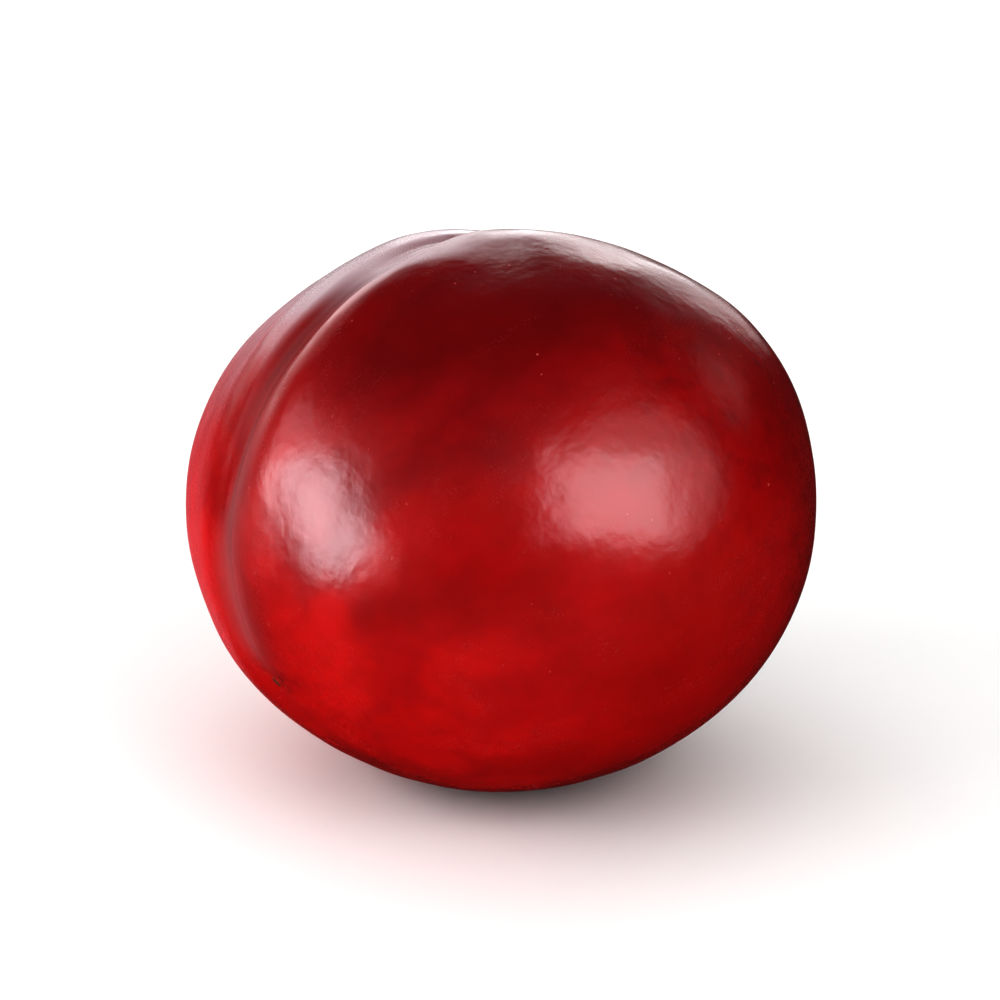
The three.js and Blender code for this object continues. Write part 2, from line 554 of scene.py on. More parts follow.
def mesh_from_arrays(
    name: str, points: np.ndarray, quads: np.ndarray, triangles: np.ndarray
) -> bpy.types.Mesh:
    """A smooth-shaded mesh from whole arrays of points and faces.

    Args:
        name: Name of the mesh.
        points: One row of x, y, z in metres for each vertex.
        quads: Four vertex numbers a row.
        triangles: Three vertex numbers a row.

    Returns:
        The new mesh.
    """
    mesh = bpy.data.meshes.new(name)
    corners = np.concatenate([quads.ravel(), triangles.ravel()]).astype(np.int32)
    sizes = np.concatenate([np.full(len(quads), 4), np.full(len(triangles), 3)])
    starts = np.concatenate([[0], np.cumsum(sizes)[:-1]]).astype(np.int32)
    mesh.vertices.add(len(points))
    mesh.vertices.foreach_set("co", points.astype(np.float32).ravel())
    mesh.loops.add(len(corners))
    mesh.loops.foreach_set("vertex_index", corners)
    mesh.polygons.add(len(sizes))
    mesh.polygons.foreach_set("loop_start", starts)
    mesh.update(calc_edges=True)
    mesh.validate()
    mesh.shade_smooth()
    return mesh


def add_number(mesh: bpy.types.Mesh, name: str, values: np.ndarray) -> None:
    """Stores one number for each vertex as a named attribute."""
    made = mesh.attributes.new(name, "FLOAT", "POINT")
    made.data.foreach_set("value", values.astype(np.float32).ravel())


def add_vector(mesh: bpy.types.Mesh, name: str, values: np.ndarray) -> None:
    """Stores one vector for each vertex as a named attribute."""
    made = mesh.attributes.new(name, "FLOAT_VECTOR", "POINT")
    made.data.foreach_set("vector", values.astype(np.float32).ravel())


# ---------------------------------------------------------------- nodes


class Nodes:
    """A thin hand on a node tree: makes nodes, sets their inputs and links them."""

    def __init__(self, tree: bpy.types.NodeTree) -> None:
        """Keeps the tree."""
        self.tree = tree

    def add(self, kind: str, inputs: dict | None = None, **settings: object) -> bpy.types.Node:
        """A new node.

        Args:
            kind: Its type name.
            inputs: Input names or numbers, each with a value or a socket to link.
            **settings: Properties set on the node itself.

        Returns:
            The node.
        """
        node = self.tree.nodes.new(kind)
        for name, value in settings.items():
            setattr(node, name, value)
        for key, value in (inputs or {}).items():
            socket = node.inputs[key]
            if isinstance(value, Socket):
                self.tree.links.new(value, socket)
            else:
                socket.default_value = value
        return node

    def math(self, operation: str, *values: object, clamp: bool = False) -> Socket:
        """One math operation on numbers or sockets."""
        inputs = dict(enumerate(values))
        return self.add("ShaderNodeMath", inputs, operation=operation, use_clamp=clamp).outputs[0]

    def times(self, first: object, second: object) -> Socket:
        """The product of two numbers or sockets."""
        return self.math("MULTIPLY", first, second)

    def grow(self, value: object, gain: object, start: object) -> Socket:
        """Value times gain plus start, kept from 0 to 1."""
        return self.math("MULTIPLY_ADD", value, gain, start, clamp=True)

    def rise(self, value: object, low: object, high: object, start: float, end: float) -> Socket:
        """A smooth change from start at low to end at high."""
        inputs = {"Value": value, "From Min": low, "From Max": high, "To Min": start, "To Max": end}
        return self.add("ShaderNodeMapRange", inputs, interpolation_type="SMOOTHSTEP").outputs[0]

    def lay(self, under: object, over: object, share: object) -> Socket:
        """One colour laid over another by a share."""
        inputs = {0: share, 6: under, 7: over}
        return self.add("ShaderNodeMix", inputs, data_type="RGBA", clamp_factor=True).outputs[2]

    def attribute(self, name: str, output: str = "Fac") -> Socket:
        """A named attribute of the piece."""
        return self.add("ShaderNodeAttribute", attribute_name=name).outputs[output]

    def group(self, tree: bpy.types.NodeTree, inputs: dict) -> Socket:
        """The first output of a placed group with its own values."""
        return self.add("ShaderNodeGroup", inputs, node_tree=tree).outputs[0]


def new_group(
    name: str, inputs: dict[str, tuple[str, object]], outputs: dict[str, str]
) -> tuple[Nodes, bpy.types.Node, bpy.types.Node]:
    """An empty shader node group with its sockets.

    Args:
        name: Name of the group.
        inputs: Socket name to its type and its usual value.
        outputs: Socket name to its type.

    Returns:
        The Nodes of the group, its input node and its output node.
    """
    tree = bpy.data.node_groups.new(name, "ShaderNodeTree")
    for label, (kind, usual) in inputs.items():
        socket = tree.interface.new_socket(label, in_out="INPUT", socket_type=kind)
        if usual is not None:
            socket.default_value = usual
    for label, kind in outputs.items():
        tree.interface.new_socket(label, in_out="OUTPUT", socket_type=kind)
    nodes = Nodes(tree)
    return nodes, nodes.add("NodeGroupInput"), nodes.add("NodeGroupOutput")


NUMBER = "NodeSocketFloat"
VECTOR = "NodeSocketVector"


def cloud_group() -> bpy.types.NodeTree:
    """Soft clouds: layered noise turned into a mask between two levels.

    Returns:
        The group, which puts out the mask.
    """
    nodes, given, result = new_group(
        "soft clouds",
        {
            "Place": (VECTOR, None),
            "Scale": (NUMBER, 5.0),
            "Detail": (NUMBER, 4.0),
            "Roughness": (NUMBER, 0.55),
            "Warp": (NUMBER, 0.3),
            "Low": (NUMBER, 0.4),
            "High": (NUMBER, 0.6),
        },
        {"Mask": NUMBER},
    )
    fed = {name: given.outputs[name] for name in ("Scale", "Detail", "Roughness")}
    fed.update({"Vector": given.outputs["Place"], "Distortion": given.outputs["Warp"]})
    noise = nodes.add("ShaderNodeTexNoise", fed)
    low, high = given.outputs["Low"], given.outputs["High"]
    mask = nodes.rise(noise.outputs["Fac"], low, high, 0.0, 1.0)
    nodes.tree.links.new(mask, result.inputs["Mask"])
    return nodes.tree


def speckle_group() -> bpy.types.NodeTree:
    """Scattered round specks: one in each cell, of uneven size, with some cells left empty.

    Returns:
        The group, which puts out the mask.
    """
    nodes, given, result = new_group(
        "scattered specks",
        {
            "Place": (VECTOR, None),
            "Scale": (NUMBER, 30.0),
            "Size": (NUMBER, 0.12),
            "Share": (NUMBER, 0.6),
        },
        {"Mask": NUMBER},
    )
    cells = nodes.add(
        "ShaderNodeTexVoronoi",
        {"Vector": given.outputs["Place"], "Scale": given.outputs["Scale"], "Randomness": 1.0},
        feature="F1",
    )
    chance = nodes.add("ShaderNodeSeparateColor", {"Color": cells.outputs["Color"]})
    smallest, edge_gain = 0.45, 2.0
    size = nodes.times(given.outputs["Size"], nodes.math("ADD", chance.outputs[1], smallest))
    from_middle = nodes.math("DIVIDE", cells.outputs["Distance"], size)
    inside = nodes.math("SUBTRACT", 1.0, from_middle, clamp=True)
    soft = nodes.math("MULTIPLY", inside, edge_gain, clamp=True)
    kept = nodes.math("LESS_THAN", chance.outputs[0], given.outputs["Share"])
    nodes.tree.links.new(nodes.times(soft, kept), result.inputs["Mask"])
    return nodes.tree


@dataclass(frozen=True)
class Cloud:
    """One use of the soft clouds: feature scale, detail and the two levels of the mask.

    Each field feeds the group's socket of the same name.
    """

    scale: float
    detail: float
    roughness: float
    low: float
    high: float
    warp: float = 0.3

    def mask(self, nodes: Nodes, clouds: bpy.types.NodeTree, place: Socket) -> Socket:
        """The cloud's mask at each place.

        Args:
            nodes: The material's nodes.
            clouds: The group of soft clouds.
            place: Direction from the middle of the fruit.

        Returns:
            Numbers from 0 to 1.
        """
        sizes = {name.capitalize(): value for name, value in asdict(self).items()}
        return nodes.group(clouds, {"Place": place, **sizes})


@dataclass(frozen=True)
class Region:
    """A soft-edged part of the skin round one direction.

    low and high are the cosines at which the region starts and is full, strength is its share
    there, and unrest is how far slow clouds push its edge about.
    """

    towards: tuple[float, float, float]
    low: float
    high: float
    strength: float = 1.0
    unrest: float = 0.0

    def mask(self, nodes: Nodes, place: Socket, drift: Socket) -> Socket:
        """The region's share at each place of the skin.

        Args:
            nodes: The material's nodes.
            place: Direction from the middle of the fruit.
            drift: Slow clouds round zero.

        Returns:
            Numbers from 0 to strength.
        """
        inputs = {0: place, 1: self.towards}
        facing = nodes.add("ShaderNodeVectorMath", inputs, operation="DOT_PRODUCT")
        moved = nodes.math("MULTIPLY_ADD", drift, self.unrest, facing.outputs["Value"])
        return nodes.rise(moved, self.low, self.high, 0.0, self.strength)


@dataclass(frozen=True)
class Ramp:
    """A smooth change of a mask: from start at low to end at high."""

    low: float
    high: float
    start: float
    end: float

    def of(self, nodes: Nodes, value: Socket) -> Socket:
        """The changed mask."""
        return nodes.rise(value, self.low, self.high, self.start, self.end)


@dataclass(frozen=True)
class Unevenness:
    """Fine noise that lifts the skin: feature scale, detail, roughness and height."""

    scale: float
    detail: float
    roughness: float
    height: float

    def noise(self, nodes: Nodes, place: Socket) -> Socket:
        """The noise at each place, round one half."""
        sizes = {"Scale": self.scale, "Detail": self.detail, "Roughness": self.roughness}
        return nodes.add("ShaderNodeTexNoise", {"Vector": place, **sizes}).outputs["Fac"]


@dataclass(frozen=True)
class Ground:
    """What the colours are laid on: the nodes, the places on the skin and slow clouds."""

    nodes: Nodes
    clouds: bpy.types.NodeTree
    place: Socket
    long_place: Socket
    drift: Socket

    def cloud(self, cloud: Cloud) -> Socket:
        """A cloud's mask."""
        return cloud.mask(self.nodes, self.clouds, self.place)

    def long_cloud(self, cloud: Cloud) -> Socket:
        """A cloud's mask, drawn out from stem to tip."""
        return cloud.mask(self.nodes, self.clouds, self.long_place)

    def region(self, region: Region) -> Socket:
        """A region's share."""
        return region.mask(self.nodes, self.place, self.drift)


@dataclass(frozen=True)
class SkinFinish:
    """Ripe plum skin: deep red, clouded with maroon, half glossy under a thin bloom; some
    reflections and shade are painted into its colour.
    """

    flame: Colour = (0.52, 0.0025, 0.0030, 1.0)
    bright: Colour = (0.355, 0.0006, 0.0008, 1.0)
    red: Colour = (0.245, 0.0005, 0.0016, 1.0)
    maroon: Colour = (0.095, 0.0006, 0.0024, 1.0)
    wine: Colour = (0.036, 0.0010, 0.0024, 1.0)
    # Pale lilac grey: partly the real bloom, partly a painted sheen on the far slope beside the
    # groove and in its upper bed.
    wax: Colour = (0.42, 0.315, 0.34, 1.0)
    dust: Colour = (0.17, 0.070, 0.075, 1.0)
    # A painted highlight: the pale line along the ridge of the fuller lip.
    rubbed: Colour = (0.52, 0.28, 0.28, 1.0)
    dot: Colour = (0.56, 0.11, 0.09, 1.0)
    wood: Colour = (0.17, 0.080, 0.038, 1.0)
    old_wood: Colour = (0.055, 0.022, 0.012, 1.0)
    dry: Colour = (0.11, 0.045, 0.025, 1.0)
    roughness: float = 0.18
    veil_roughness: float = 0.06
    grain_roughness: float = 0.08
    mark_roughness: tuple[tuple[str, float], ...] = (
        ("valley", 0.22),
        ("crease", 0.35),
        ("stem_scar", 0.4),
    )
    refraction: float = 1.45
    glaze: float = 0.02
    glaze_roughness: float = 0.5
    glaze_refraction: float = 1.5
    grain: Unevenness = Unevenness(150.0, 3.0, 0.6, 0.08)
    pores: Unevenness = Unevenness(25.0, 2.5, 0.5, 1.1)
    waves: Unevenness = Unevenness(9.0, 2.0, 0.5, 2.6)
    bump_strength: float = 0.34
    bump_distance: float = 0.0001
    drawn_out: tuple[float, float, float] = (1.0, 1.0, 0.38)
    shaded: Region = Region((0.87, 0.47, 0.15), 0.64, 1.0, 0.84, 0.12)
    dulled: Region = Region((0.56, 0.34, -0.76), 0.965, 1.0, 0.55, 0.0)
    dimmed: Region = Region((0.42, 0.68, -0.60), 0.88, 1.0, 0.36, 0.15)
    # Brighter red at the lower left edge: partly the tip's own flush, partly a painted reflection
    # along the rim.
    tip_flush: Region = Region((0.28, -0.36, -0.89), 0.92, 1.0, 0.95, 0.05)
    far_cheek: Region = Region((-0.40, 0.88, -0.25), 0.70, 1.0, 0.8, 0.2)
    stem_side: Region = Region((0.42, -0.47, 0.77), 0.20, 1.0, 0.8, 0.40)
    stem: Region = Region((0.0, 0.0, 1.0), 0.0, 0.88, 0.52, 0.16)
    stemward: Region = Region((0.0, 0.20, 0.98), 0.10, 0.70, 1.0, 0.2)
    stem_core: Region = Region((0.0, 0.0, 1.0), 0.86, 1.0, 0.7, 0.05)
    # Flame red over the cheek beyond the groove: partly its own colour, partly a painted reflection
    # along its rim.
    flame_cheek: Region = Region((-0.15, -0.80, -0.55), 0.40, 0.95, 0.9, 0.3)
    low_cheek: Region = Region((-0.10, 0.40, -0.91), 0.55, 1.0, 1.0, 0.2)
    # Where the bloom and its painted sheen lie: none towards the tip, full from the middle up to
    # the stem end.
    bloom: Region = Region((0.0, 0.0, 1.0), -0.62, 0.0, 1.0, 0.12)
    drift: Cloud = Cloud(1.9, 4.0, 0.55, 0.25, 0.75, 0.6)
    streaks: Cloud = Cloud(4.6, 7.0, 0.62, 0.34, 0.68)
    patches: Cloud = Cloud(3.5, 3.5, 0.55, 0.28, 0.72, 0.35)
    mottle: Cloud = Cloud(13.0, 6.0, 0.60, 0.42, 0.72)
    veil: Cloud = Cloud(3.1, 8.0, 0.68, 0.28, 0.70)
    fibres: Cloud = Cloud(85.0, 4.0, 0.65, 0.38, 0.60)
    cheek_patches: Ramp = Ramp(0.0, 1.0, 0.60, 1.0)
    low_patches: Ramp = Ramp(0.1, 0.9, 0.50, 1.0)
    # Streaks that break up the painted lip highlight.
    worn_lip: Ramp = Ramp(0.0, 0.6, 0.45, 0.95)
    # How the clouds thin the bloom and its painted sheen.
    wax_veil: Ramp = Ramp(0.0, 0.7, 0.55, 1.0)
    patch_share: float = 0.7
    streak_share: float = 0.10
    mottle_share: float = 0.12
    mottle_share_at_stem: float = 0.30
    dot_share: float = 0.50
    dot_share_at_stem: float = 0.20
    dot_scale: float = 17.0
    dot_size: float = 0.075
    dots_kept: float = 0.6
    cavity_share: float = 0.6
    valley_share: float = 0.5
    # How dark the painted shade in the crease is.
    crease_share: float = 0.6

    def colour(self, ground: Ground, veil: Socket) -> Socket:
        """The skin's colour: each finish laid over the ones before it, by its share.

        Args:
            ground: The nodes and the places on the skin.
            veil: Where the bloom and its painted sheen lie, 0 to 1.

        Returns:
            The colour.
        """
        nodes, region = ground.nodes, ground.region
        streaks = ground.long_cloud(self.streaks)
        patches = ground.long_cloud(self.patches)
        stemward = region(self.stemward)
        # Flame cheek, partly a painted rim reflection, broken by patches.
        flame_cheek = nodes.times(self.cheek_patches.of(nodes, patches), region(self.flame_cheek))
        low_cheek = nodes.times(self.low_patches.of(nodes, patches), region(self.low_cheek))
        mottled = nodes.math("MULTIPLY_ADD", stemward, self.mottle_share_at_stem, self.mottle_share)
        # Painted highlight along the lip's ridge, broken by streaks.
        painted_lip_highlight = nodes.times(nodes.attribute("lip"), self.worn_lip.of(nodes, streaks))
        # Bloom with a painted sheen, on the band that the mesh attribute holds, fading towards the
        # tip.
        wax = nodes.times(nodes.attribute("wax_and_sheen_band"), region(self.bloom))
        wood = nodes.lay(self.old_wood, self.wood, ground.cloud(self.fibres))
        layers = (
            (self.bright, nodes.times(patches, self.patch_share)),
            (self.bright, region(self.far_cheek)),
            (self.flame, flame_cheek),
            # Flush at the tip, partly a painted rim reflection.
            (self.flame, region(self.tip_flush)),
            (self.flame, low_cheek),
            (self.maroon, region(self.dulled)),
            (self.maroon, region(self.dimmed)),
            (self.maroon, nodes.grow(streaks, self.streak_share, region(self.shaded))),
            (self.maroon, region(self.stem_side)),
            (self.maroon, region(self.stem)),
            (self.wine, region(self.stem_core)),
            (self.maroon, nodes.times(ground.cloud(self.mottle), mottled)),
            # Painted highlight along the lip.
            (self.rubbed, painted_lip_highlight),
            (self.wine, nodes.times(nodes.attribute("cavity"), self.cavity_share)),
            (self.dot, self.dots(ground, stemward)),
            # Pale bloom with a painted sheen.
            (self.wax, nodes.times(self.wax_veil.of(nodes, veil), wax)),
            (self.dust, nodes.times(nodes.attribute("valley"), self.valley_share)),
            # Painted shade: dark wine in the crease and on the wall beside it.
            (self.wine, nodes.times(nodes.attribute("crease"), self.crease_share)),
            (wood, nodes.attribute("stem_scar")),
            (self.dry, nodes.attribute("tip_speck")),
        )
        colour = self.red
        for finish, share in layers:
            colour = nodes.lay(colour, finish, share)
        return colour

    def dots(self, ground: Ground, stemward: Socket) -> Socket:
        """The small pale dots, a little stronger towards the stem.

        Args:
            ground: The nodes and the places on the skin.
            stemward: 1 towards the stem end, 0 towards the tip.

        Returns:
            The share of the dots' colour.
        """
        nodes = ground.nodes
        sizes = {"Scale": self.dot_scale, "Size": self.dot_size, "Share": self.dots_kept}
        dots = nodes.group(speckle_group(), {"Place": ground.place, **sizes})
        strength = nodes.math("MULTIPLY_ADD", stemward, self.dot_share_at_stem, self.dot_share)
        return nodes.times(dots, strength)

    def roughness_of(self, nodes: Nodes, veil: Socket, grain: Socket) -> Socket:
        """The roughness: the plain skin's, plus a gain for each mask.

        Args:
            nodes: The material's nodes.
            veil: Where the wax lies, 0 to 1.
            grain: The finest noise.

        Returns:
            The roughness, 0 to 1.
        """
        gains = [(veil, self.veil_roughness), (grain, self.grain_roughness)]
        gains += [(nodes.attribute(name), gain) for name, gain in self.mark_roughness]
        roughness = self.roughness
        for mask, gain in gains:
            roughness = nodes.grow(mask, gain, roughness)
        return roughness

    def material(self) -> bpy.types.Material:
        """The skin's material.

        Returns:
            The new material.
        """
        made = bpy.data.materials.new("plum skin")
        made.use_nodes = True
        made.node_tree.nodes.clear()
        nodes = Nodes(made.node_tree)
        clouds = cloud_group()
        place = nodes.attribute("fruit_place", "Vector")
        stretch = {"Vector": place, "Scale": self.drawn_out}
        long_place = nodes.add("ShaderNodeMapping", stretch, vector_type="POINT").outputs[0]
        drift = nodes.math("SUBTRACT", self.drift.mask(nodes, clouds, place), 0.5)
        ground = Ground(nodes, clouds, place, long_place, drift)
        veil = ground.long_cloud(self.veil)
        grain = self.grain.noise(nodes, place)
        height = nodes.times(self.pores.noise(nodes, place), self.pores.height)
        height = nodes.math("MULTIPLY_ADD", grain, self.grain.height, height)
        waves = self.waves.noise(nodes, place)
        height = nodes.math("MULTIPLY_ADD", waves, self.waves.height, height)
        lift = {"Strength": self.bump_strength, "Distance": self.bump_distance, "Height": height}
        surface = nodes.add(
            "ShaderNodeBsdfPrincipled",
            {
                "Base Color": self.colour(ground, veil),
                "Roughness": self.roughness_of(nodes, veil, grain),
                "IOR": self.refraction,
                "Normal": nodes.add("ShaderNodeBump", lift).outputs[0],
                "Coat Weight": self.glaze,
                "Coat Roughness": self.glaze_roughness,
                "Coat IOR": self.glaze_refraction,
            },
        )
        nodes.add("ShaderNodeOutputMaterial", {"Surface": surface.outputs[0]})
        return made


# ---------------------------------------------------------------- the plum


@dataclass(frozen=True)
class Marks:
    """Soft masks along the suture, which the finish reads.

    Places, half widths, bed and far_slope are millimetres from the suture's bed, and wax_round
    is millimetres along x. The other steps are levels along the fruit: the z of the direction,
    from -1 at the tip to 1 at the stem, with its sign turned for valley_starts and near_tip.
    """

    # Painted shade: the dark line in the crease's bed, and the wall beside it midway.
    line: Ridge = Ridge(1.25, 1.0, 0.6)
    line_starts: Step = Step(-0.95, -0.45)
    wall: Ridge = Ridge(-0.8, 1.0, 1.9)
    wall_starts: Step = Step(-0.75, -0.40)
    wall_ends: Step = Step(-0.10, 0.12)
    valley_place: float = 2.4
    valley_shift: float = 2.0
    valley_half_width: float = 1.9
    valley_widening: float = 2.2
    valley_starts: Step = Step(0.3, 0.8)
    near_tip: Step = Step(0.72, 0.90)
    # The painted highlight along the lip's ridge, and where it starts and dims.
    lip_line: Ridge = Ridge(4.0, 1.0, 0.85)
    lip_starts: Step = Step(-0.78, -0.10)
    lip_dims: Step = Step(0.05, 0.30, 0.6)
    bed: Step = Step(-3.9, -2.2)
    far_slope: Step = Step(-26.0, -12.0)
    high_up: Step = Step(0.0, 0.3)
    # Edges of the bloom and its painted sheen in the upper bed, and where they end.
    bed_wax_from: float = 4.4
    bed_wax_from_shift: float = 1.0
    bed_wax_to: float = 5.5
    bed_wax_to_shift: float = 5.5
    bed_wax_starts: Step = Step(-0.25, 0.12)
    bed_wax_dims: Step = Step(0.05, 0.30, 0.45)
    wax_ends: Step = Step(0.42, 0.80, 0.8)
    wax_round: Step = Step(-8.0, 18.0)

    def crease(self, at: Directions, aside: np.ndarray) -> np.ndarray:
        """Painted shade: the dark line in the bed, and the shaded wall beside it midway.

        Args:
            at: The directions.
            aside: Signed distance from the bed.

        Returns:
            Numbers from 0 to 1.
        """
        line = self.line.height_at(aside) * self.line_starts.up(at.z)
        midway = self.wall_starts.up(at.z) * self.wall_ends.down(at.z)
        return np.maximum(line, self.wall.height_at(aside) * midway)

    def valley(self, at: Directions, aside: np.ndarray) -> np.ndarray:
        """The dull grey stripe in the lower half, which shifts and widens towards the tip.

        Args:
            at: The directions.
            aside: Signed distance from the bed.

        Returns:
            Numbers from 0 to 1.
        """
        near_tip = self.near_tip.up(-at.z)
        place = self.valley_place - self.valley_shift * near_tip
        half_width = self.valley_half_width + self.valley_widening * near_tip
        return bell(aside - place, half_width) * self.valley_starts.up(-at.z)

    def lip(self, at: Directions, aside: np.ndarray) -> np.ndarray:
        """The painted highlight line along the fuller lip."""
        return self.lip_line.height_at(aside) * self.lip_starts.up(at.z) * self.lip_dims.down(at.z)

    def wax(self, at: Directions, aside: np.ndarray) -> np.ndarray:
        """The bloom and its painted sheen on the far slope and in the upper bed, up to an edge
        along the lip.

        Args:
            at: The directions.
            aside: Signed distance from the bed.

        Returns:
            Numbers from 0 to 1.
        """
        high_up = self.high_up.up(at.z)
        start = self.bed_wax_from + self.bed_wax_from_shift * high_up
        end = self.bed_wax_to + self.bed_wax_to_shift * high_up
        edge = 1.0 - smooth_step((aside - start) / (end - start), 0.0, 1.0)
        bed = self.bed.up(aside)
        in_bed = bed * edge * self.bed_wax_starts.up(at.z) * self.bed_wax_dims.down(at.z)
        waxed = self.far_slope.up(aside) * (1.0 - bed) + in_bed
        return waxed * self.wax_round.up(at.radius * at.x) * self.wax_ends.down(at.z)


@dataclass
class Plum:
    """The whole fruit: one closed skin and its finish."""

    body: Body = field(default_factory=Body)
    suture: Suture = field(default_factory=Suture)
    stem_end: StemEnd = field(default_factory=StemEnd)
    tip: Tip = field(default_factory=Tip)
    pose: RestingPose = field(default_factory=RestingPose)
    grid: PolarGrid = field(default_factory=PolarGrid)
    marks: Marks = field(default_factory=Marks)
    finish: SkinFinish = field(default_factory=SkinFinish)
    flat_spot_cut: float = 1.0
    flat_spot_rounding: float = 0.5

    def surface(self, at: Directions) -> np.ndarray:
        """Points of the skin in the fruit's own frame, in millimetres.

        Each point lies along its direction, at the plain body's distance plus the reliefs of
        the body, the suture, the stem end and the tip.

        Args:
            at: The directions.

        Returns:
            One point for each direction.
        """
        aside = self.suture.aside(at)
        ends = self.stem_end.relief(at, aside, self.suture.fade(at)) + self.tip.relief(at)
        reach = at.radius + self.body.relief(at) + self.suture.relief(at) + ends
        return np.stack([at.x, at.y, at.z], axis=-1) * reach[..., None]

    def at_rest(self, points: np.ndarray) -> np.ndarray:
        """The points turned into the resting pose and set into the CAD solid's box, in metres.

        The lowest millimetre is pressed flat. A smooth maximum of the height and zero rounds
        the flat spot's edge: where the height is within the rounding of zero, it adds
        (rounding - |height|)^2 / (4 rounding).

        Args:
            points: Points in the fruit's own frame, in millimetres.

        Returns:
            The points at rest.
        """
        low, high = (np.array(corner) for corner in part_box(NODE))
        turned = points @ self.pose.turn().T * MM
        turned[..., 2] -= turned[..., 2].min() + self.flat_spot_cut * MM
        own_low = turned.reshape(-1, 3).min(axis=0)
        own_high = turned.reshape(-1, 3).max(axis=0)
        turned[..., :2] += ((low + high) / 2 - (own_low + own_high) / 2)[:2]
        rounding = self.flat_spot_rounding * MM
        height = turned[..., 2]
        near = np.clip(rounding - np.abs(height), 0.0, None)
        turned[..., 2] = np.maximum(height, 0.0) + near**2 / (4.0 * rounding)
        log.info("top of the skin %.2f mm", turned[..., 2].max() / MM)
        log.info("top of the solid %.2f mm", high[2] / MM)
        return turned

    def build(self) -> bpy.types.Object:
        """The skin as an object, with the attributes that its finish reads.

        Returns:
            The object, linked to the scene.
        """
        at = self.grid.directions(self.body)
        points = self.grid.rows_to_points(self.at_rest(self.surface(at)))
        mesh = mesh_from_arrays("plum_skin", points, *self.grid.faces())
        aside, fade = self.suture.aside(at), self.suture.fade(at)
        directions = np.stack([at.x, at.y, at.z], axis=-1)
        add_vector(mesh, "fruit_place", self.grid.rows_to_points(directions))
        numbers = {
            # Painted shade in the crease and on its wall.
            "crease": fade * self.marks.crease(at, aside),
            "valley": fade * self.marks.valley(at, aside),
            # Painted highlight along the lip's ridge.
            "lip": fade * self.marks.lip(at, aside),
            # Bloom, partly a painted sheen.
            "wax_and_sheen_band": self.marks.wax(at, aside),
            "cavity": self.stem_end.cavity_mask(at),
            "stem_scar": self.stem_end.scar_mask(at),
            "tip_speck": self.tip.speck_mask(at),
        }
        for name, values in numbers.items():
            add_number(mesh, name, self.grid.rows_to_points(values))
        piece = bpy.data.objects.new("plum_skin", mesh)
        bpy.context.scene.collection.objects.link(piece)
        return piece

    def dress(self, piece: bpy.types.Object) -> None:
        """Gives the skin its finish and ties it to the CAD solid.

        Args:
            piece: The skin.
        """
        piece.data.materials.append(self.finish.material())
        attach(piece, BODY)
        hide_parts(NODE)
        mesh = piece.data
        log.info("%s: %d vertices, %d faces", piece.name, len(mesh.vertices), len(mesh.polygons))


# ---------------------------------------------------------------- studio


class Reach(Enum):
    """What a light does: shine on matt paint, or show as a reflection."""

    MATT = "matt"
    GLOSS = "gloss"


class Outline(Enum):
    """Outline of a softbox."""

    OBLONG = "RECTANGLE"
    ROUND = "ELLIPSE"


COOL = (1.0, 0.97, 1.03)


@dataclass(frozen=True)
class Softbox:
    """One soft light, as seen from the fruit.

    Heading 0 is the camera's side and 90 is +X, rise is the angle above the floor and roll
    turns the panel about the line to the fruit. Distance, width and height are metres, and
    radiance is its brightness beside white paper.
    """

    name: str
    reach: Reach
    heading: float
    rise: float
    distance: float
    width: float
    height: float
    radiance: float
    roll: float = 0.0
    outline: Outline = Outline.OBLONG
    colour: tuple[float, float, float] = (1.0, 1.0, 1.0)

    def power(self) -> float:
        """Watts for the radiance: radiance times pi times the panel's area."""
        share = math.pi / 4.0 if self.outline is Outline.ROUND else 1.0
        return self.radiance * math.pi * self.width * self.height * share

    def place(self, aim: Vector) -> None:
        """Sets the light up, facing the fruit.

        Args:
            aim: The middle of the fruit.
        """
        light = bpy.data.lights.new(self.name, "AREA")
        light.shape = self.outline.value
        light.size = self.width
        light.size_y = self.height
        light.energy = self.power()
        light.color = self.colour
        lamp = bpy.data.objects.new(self.name, light)
        turn, rise = math.radians(self.heading), math.radians(self.rise)
        level = math.cos(rise)
        back = Vector((math.sin(turn) * level, -math.cos(turn) * level, math.sin(rise)))
        lamp.location = aim + back * self.distance
        lamp.rotation_mode = "QUATERNION"
        facing = back.to_track_quat("Z", "Y")
        lamp.rotation_quaternion = facing @ Quaternion((0.0, 0.0, 1.0), math.radians(self.roll))
        lamp.visible_camera = False
        lamp.visible_diffuse = self.reach is not Reach.GLOSS
        lamp.visible_glossy = self.reach is not Reach.MATT
        bpy.context.scene.collection.objects.link(lamp)


